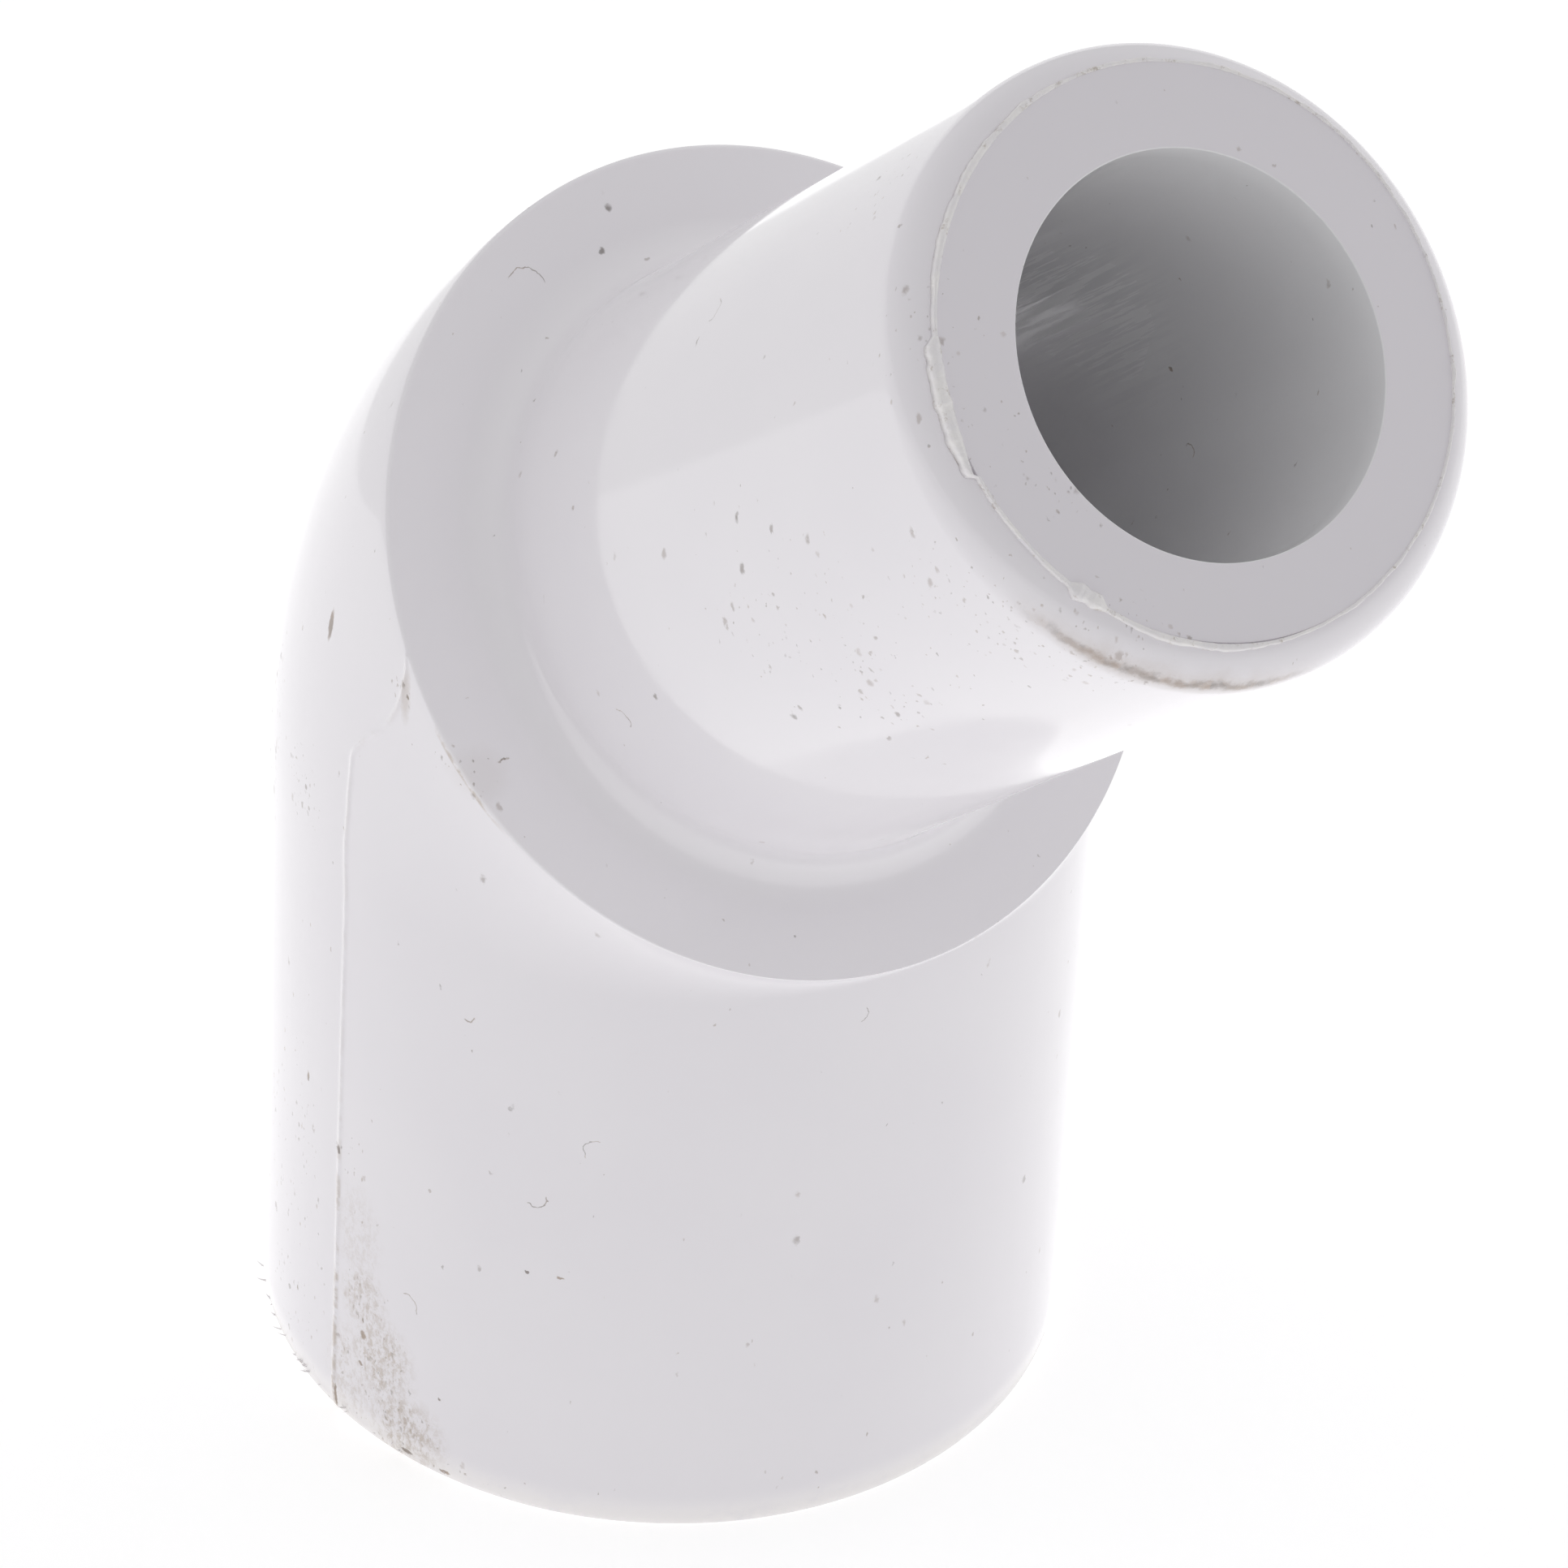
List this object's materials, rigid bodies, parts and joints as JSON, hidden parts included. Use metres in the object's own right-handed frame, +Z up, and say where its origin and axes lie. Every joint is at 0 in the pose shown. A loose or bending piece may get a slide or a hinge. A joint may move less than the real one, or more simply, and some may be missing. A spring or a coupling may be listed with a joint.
{
  "type": "pipe elbow fitting",
  "caption": "Short 45 degree street elbow for solvent-weld plastic pipe, with a socket at one end and a plain spigot at the other.",
  "frame": {"origin": "centre of the socket's mouth, on the flat face that the fitting stands on", "axes": "+Z up the socket's axis towards the bend; the spigot leans towards +X at 45 degrees, so the XZ plane is the fitting's plane of symmetry; +Y across it"},
  "size_m": [0.0468, 0.0296, 0.0625],
  "materials": {
    "white_pvc": "moulded, satin gloss, slightly soiled"
  },
  "bodies": {
    "root": {"elbow_body": "white_pvc"}
  },
  "joints": []
}
